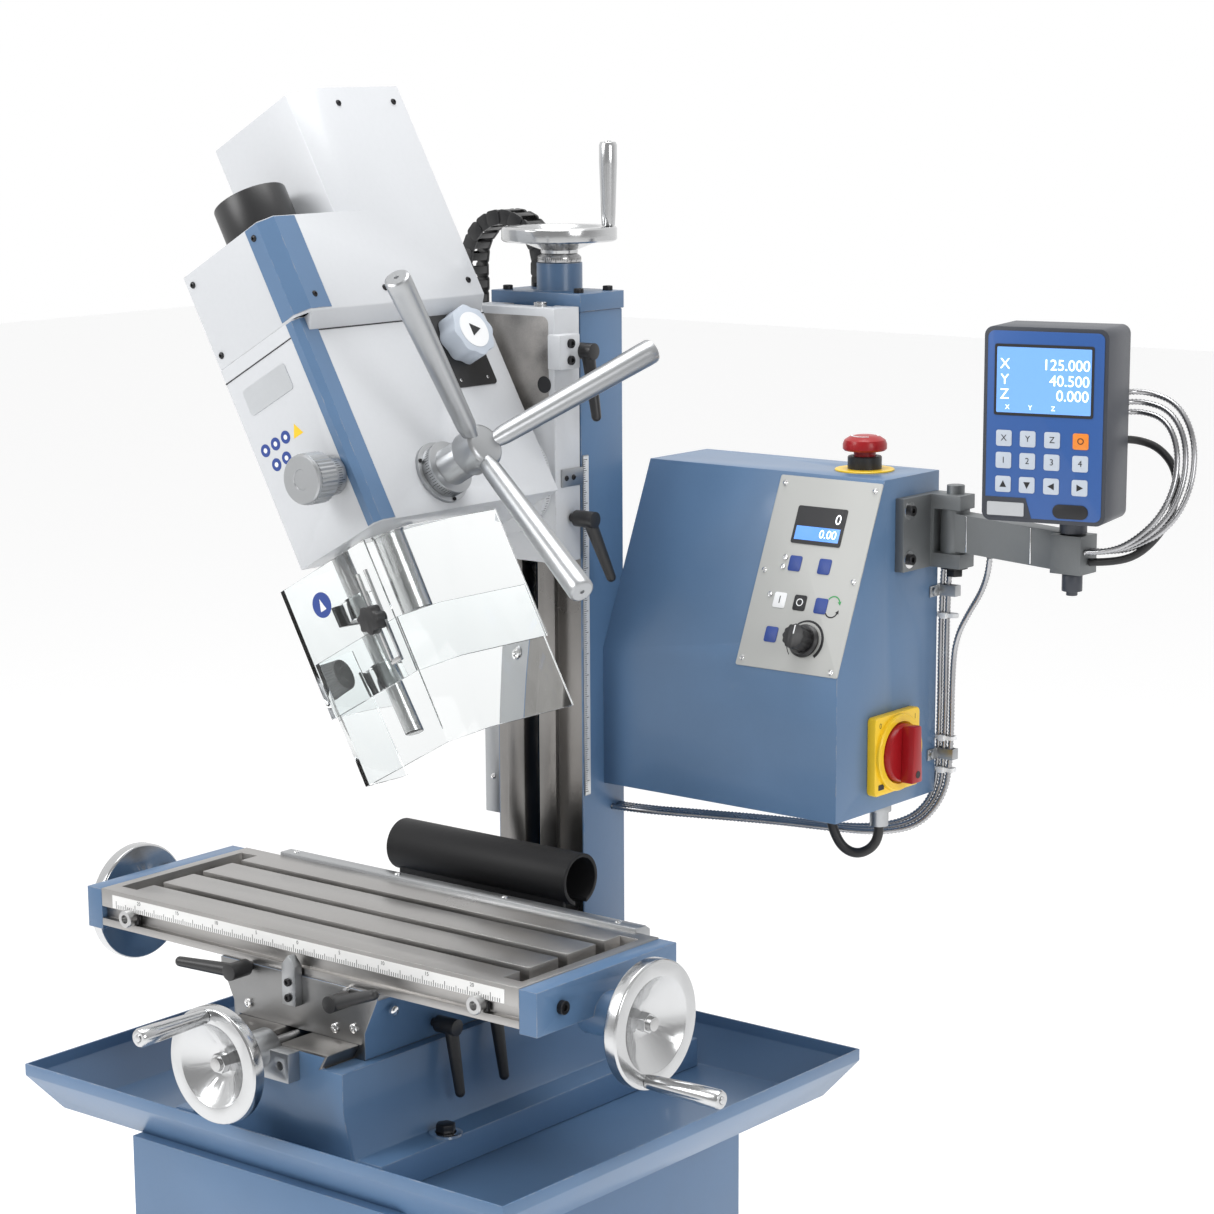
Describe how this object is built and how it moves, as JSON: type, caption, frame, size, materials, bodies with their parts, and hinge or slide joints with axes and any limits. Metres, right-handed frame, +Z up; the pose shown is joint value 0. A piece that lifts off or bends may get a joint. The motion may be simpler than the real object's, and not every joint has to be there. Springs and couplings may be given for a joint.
{
  "type": "vertical milling machine",
  "caption": "Bench-type vertical milling machine on a cabinet stand, with tilting head, cross table, dovetail column, control box and digital read-out.",
  "frame": {"origin": "centre of the stand's footprint, on the floor", "axes": "+X along the table to the operator's right, +Y from the operator towards the column, +Z up"},
  "size_m": [0.8719, 0.7356, 1.6569],
  "materials": {
    "blue_paint": "semi-gloss enamel",
    "machined_steel": "ground",
    "white_paint": "semi-gloss enamel",
    "aluminium": "turned and satin",
    "steel": "turned",
    "motor_black": "satin",
    "bronze": "machined",
    "rubber": "matt",
    "black_plastic": "satin",
    "clear_acrylic": "clear",
    "yellow_plastic": "satin",
    "red_plastic": "satin",
    "grey_cast": "cast",
    "dark_housing": "satin"
  },
  "bodies": {
    "root": {"stand_cabinet": "blue_paint", "chip_tray": "blue_paint", "base_casting": "blue_paint", "base_bolts": "steel", "y_screw_bracket": "aluminium", "column": "blue_paint", "column_cap": "blue_paint", "column_scales": "aluminium", "control_box": "blue_paint", "switch_plates": "yellow_plastic", "dro_bracket": "grey_cast", "energy_chain": "black_plastic", "box_cables": "steel", "cable_clips": "steel"},
    "door": {"stand_door": "blue_paint"},
    "saddle": {"saddle": "machined_steel", "feed_nuts": "bronze", "way_apron": "rubber"},
    "y_screw": {"y_leadscrew": "steel", "y_handwheel": "aluminium"},
    "y_grip": {"y_grip": "aluminium"},
    "table": {"table": "machined_steel", "table_end_caps": "blue_paint", "table_scale_cover": "aluminium"},
    "x_screw": {"x_leadscrew": "steel", "x_handwheels": "aluminium"},
    "x_grip": {"x_grip": "aluminium"},
    "z_slide": {"z_slide": "white_paint"},
    "z_screw": {"z_leadscrew": "steel", "z_handwheel": "aluminium"},
    "z_grip": {"z_grip": "aluminium"},
    "head": {"head_casting": "white_paint", "top_cover": "white_paint", "drawbar_cap": "black_plastic", "drive_motor": "motor_black", "drive_belt": "rubber", "guard_rod": "steel", "feed_ring": "machined_steel"},
    "quill": {"quill": "steel"},
    "spindle": {"spindle": "steel"},
    "spindle_pulley": {"spindle_pulley": "aluminium"},
    "motor_shaft": {"motor_pulley": "aluminium"},
    "feed_handle": {"feed_hub": "aluminium", "feed_spokes": "aluminium"},
    "fine_knob": {"fine_feed_knob": "aluminium"},
    "selector": {"selector_knob": "aluminium"},
    "guard": {"guard_upper": "clear_acrylic"},
    "guard_slide": {"guard_lower": "clear_acrylic"},
    "speed_knob": {"speed_knob": "black_plastic"},
    "estop": {"estop_button": "red_plastic"},
    "main_switch": {"switch_knob": "red_plastic"},
    "dro_arm": {"dro_arm": "grey_cast", "dro_cables": "steel"},
    "dro": {"dro_housing": "dark_housing"},
    "x_lock_lever_left": {"x_lock_lever_left": "black_plastic"},
    "x_lock_lever_right": {"x_lock_lever_right": "black_plastic"},
    "y_lock_lever_front": {"y_lock_lever_front": "black_plastic"},
    "y_lock_lever_rear": {"y_lock_lever_rear": "black_plastic"},
    "z_lock_lever_upper": {"z_lock_lever_upper": "black_plastic"},
    "z_lock_lever_lower": {"z_lock_lever_lower": "black_plastic"}
  },
  "joints": [
    {"name": "door_hinge", "type": "hinge", "parent": "root", "child": "door", "pos_m": [-0.123, -0.2445, 0], "axis": [0, 0, -1], "range_deg": [0, 110]},
    {"name": "cross_travel", "type": "slide", "parent": "root", "child": "saddle", "axis": [0, 1, 0], "range_m": [-0.037, 0.085], "deforming": ["way_apron"]},
    {"name": "cross_screw_spin", "type": "hinge", "parent": "root", "child": "y_screw", "pos_m": [0, -0.2685, 0.85], "axis": [0, 1, 0], "range_deg": [-6691, 15331]},
    {"name": "cross_grip_spin", "type": "hinge", "parent": "y_screw", "child": "y_grip", "pos_m": [-0.00598, -0.2685, 0.89258], "axis": [0, -1, 0], "continuous": true},
    {"name": "table_travel", "type": "slide", "parent": "saddle", "child": "table", "axis": [1, 0, 0], "range_m": [-0.14, 0.14]},
    {"name": "table_screw_spin", "type": "hinge", "parent": "table", "child": "x_screw", "pos_m": [0.2855, -0.093, 0.899], "axis": [1, 0, 0], "range_deg": [-25231, 25231]},
    {"name": "table_grip_spin", "type": "hinge", "parent": "x_screw", "child": "x_grip", "pos_m": [0.2955, -0.10516, 0.8536], "axis": [1, 0, 0], "continuous": true},
    {"name": "head_lift", "type": "slide", "parent": "root", "child": "z_slide", "axis": [0, 0, 1], "range_m": [-0.12, 0]},
    {"name": "lift_screw_spin", "type": "hinge", "parent": "root", "child": "z_screw", "pos_m": [0, 0.176, 1.5055], "axis": [0, 0, 1], "range_deg": [-14430, 30]},
    {"name": "lift_grip_spin", "type": "hinge", "parent": "z_screw", "child": "z_grip", "pos_m": [0.03594, 0.20308, 1.5055], "axis": [0, 0, 1], "continuous": true},
    {"name": "head_tilt", "type": "hinge", "parent": "z_slide", "child": "head", "pos_m": [0, 0.097, 1.304], "axis": [0, 1, 0], "range_deg": [-61, 119]},
    {"name": "quill_feed", "type": "hinge", "parent": "head", "child": "feed_handle", "pos_m": [0, -0.043, 1.304], "axis": [0.8746, 0, 0.4848], "range_deg": [0, 240], "stiffness_Nm_per_rad": 0.3, "springref_deg": -114.59},
    {"name": "quill_travel", "type": "slide", "parent": "head", "child": "quill", "axis": [0.4848, 0, -0.8746], "range_m": [-0.001, 0.052]},
    {"name": "spindle_spin", "type": "hinge", "parent": "quill", "child": "spindle", "pos_m": [0, -0.079, 1.304], "axis": [-0.4848, 0, 0.8746], "continuous": true},
    {"name": "spindle_pulley_spin", "type": "hinge", "parent": "head", "child": "spindle_pulley", "pos_m": [0, -0.079, 1.304], "axis": [-0.4848, 0, 0.8746], "continuous": true},
    {"name": "motor_spin", "type": "hinge", "parent": "head", "child": "motor_shaft", "pos_m": [0, 0.033, 1.304], "axis": [-0.4848, 0, 0.8746], "continuous": true},
    {"name": "fine_feed_turn", "type": "hinge", "parent": "head", "child": "fine_knob", "pos_m": [0.01207, -0.14, 1.33585], "axis": [0, -1, 0], "continuous": true},
    {"name": "range_select", "type": "hinge", "parent": "head", "child": "selector", "pos_m": [-0.0127, 0.048, 1.43416], "axis": [0.8746, 0, 0.4848], "range_deg": [0, 90]},
    {"name": "guard_swing", "type": "hinge", "parent": "head", "child": "guard", "pos_m": [-0.03499, -0.098, 1.28461], "axis": [0.4848, 0, -0.8746], "range_deg": [0, 95]},
    {"name": "guard_height", "type": "slide", "parent": "guard", "child": "guard_slide", "axis": [-0.4848, 0, 0.8746], "range_m": [0, 0.05]},
    {"name": "speed_set", "type": "hinge", "parent": "root", "child": "speed_knob", "pos_m": [0.272, 0.18415, 1.17252], "axis": [0, -0.92, 0.3919], "range_deg": [0, 270]},
    {"name": "estop_press", "type": "slide", "parent": "root", "child": "estop", "axis": [0, 0, -1], "range_m": [0, 0.004], "stiffness_N_per_m": 800},
    {"name": "main_switch_turn", "type": "hinge", "parent": "root", "child": "main_switch", "pos_m": [0.314, 0.256, 1.067], "axis": [1, 0, 0], "range_deg": [0, 90]},
    {"name": "readout_arm_swing", "type": "hinge", "parent": "root", "child": "dro_arm", "pos_m": [0.34, 0.319, 1.262], "axis": [0, 0, 1], "range_deg": [-40, 25], "deforming": ["box_cables"]},
    {"name": "readout_swivel", "type": "hinge", "parent": "dro_arm", "child": "dro", "pos_m": [0.466, 0.31, 1.262], "axis": [0, 0, 1], "range_deg": [-30, 30], "deforming": ["dro_cables"]},
    {"name": "x_lock_left", "type": "hinge", "parent": "saddle", "child": "x_lock_lever_left", "pos_m": [-0.056, -0.188, 0.903], "axis": [0, -1, 0], "range_deg": [-20, 30]},
    {"name": "x_lock_right", "type": "hinge", "parent": "saddle", "child": "x_lock_lever_right", "pos_m": [0.064, -0.188, 0.897], "axis": [0, -1, 0], "range_deg": [-20, 30]},
    {"name": "y_lock_front", "type": "hinge", "parent": "saddle", "child": "y_lock_lever_front", "pos_m": [0.079, -0.101, 0.856], "axis": [1, 0, 0], "range_deg": [-20, 35]},
    {"name": "y_lock_rear", "type": "hinge", "parent": "saddle", "child": "y_lock_lever_rear", "pos_m": [0.079, -0.042, 0.856], "axis": [1, 0, 0], "range_deg": [-20, 35]},
    {"name": "z_lock_upper", "type": "hinge", "parent": "z_slide", "child": "z_lock_lever_upper", "pos_m": [0.052, 0.127, 1.423], "axis": [1, 0, 0], "range_deg": [-20, 35]},
    {"name": "z_lock_lower", "type": "hinge", "parent": "z_slide", "child": "z_lock_lever_lower", "pos_m": [0.052, 0.127, 1.271], "axis": [1, 0, 0], "range_deg": [-20, 35]}
  ],
  "couplings": [
    {"joint": "cross_screw_spin", "follows": "cross_travel", "rad_per_m": 3141.6},
    {"joint": "table_screw_spin", "follows": "table_travel", "rad_per_m": 3141.6},
    {"joint": "lift_screw_spin", "follows": "head_lift", "rad_per_m": 2094.4},
    {"joint": "quill_travel", "follows": "quill_feed", "m_per_rad": 0.0119},
    {"joint": "spindle_pulley_spin", "follows": "spindle_spin", "ratio": 1},
    {"joint": "motor_spin", "follows": "spindle_spin", "ratio": 1.6}
  ]
}
